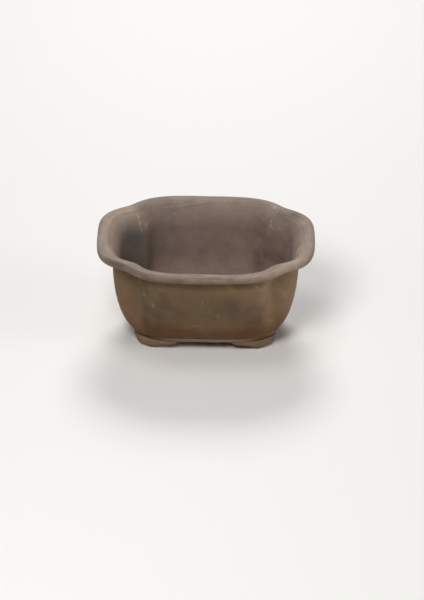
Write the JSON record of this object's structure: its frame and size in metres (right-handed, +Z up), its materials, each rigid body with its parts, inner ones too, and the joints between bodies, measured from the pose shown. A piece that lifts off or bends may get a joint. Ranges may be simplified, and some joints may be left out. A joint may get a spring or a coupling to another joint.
{
  "type": "bonsai pot",
  "caption": "Oblong four-lobed unglazed stoneware bonsai pot with a flared rolled lip, cloud feet at the corners and a screened, drained floor.",
  "frame": {"origin": "on the table, under the middle of the pot", "axes": "+X along the pot's length, +Y towards its back, +Z up"},
  "size_m": [0.254, 0.204, 0.124],
  "materials": {
    "wall_clay": "unglazed, fired matt brown",
    "lip_clay": "unglazed, wiped smooth",
    "slab_clay": "unglazed, cut and wiped",
    "foot_clay": "unglazed, pressed and wiped",
    "screen_mesh": "moulded black mesh",
    "clip_wire": "bare drawn wire"
  },
  "bodies": {
    "root": {"base_slab": "slab_clay", "front_wall": "wall_clay", "back_wall": "wall_clay", "left_wall": "wall_clay", "right_wall": "wall_clay", "rim_lip": "lip_clay", "foot_front_left": "foot_clay", "foot_front_right": "foot_clay", "foot_back_left": "foot_clay", "foot_back_right": "foot_clay", "drain_screen_left": "screen_mesh", "drain_screen_right": "screen_mesh", "screen_clip_left": "clip_wire", "screen_clip_right": "clip_wire"}
  },
  "joints": []
}
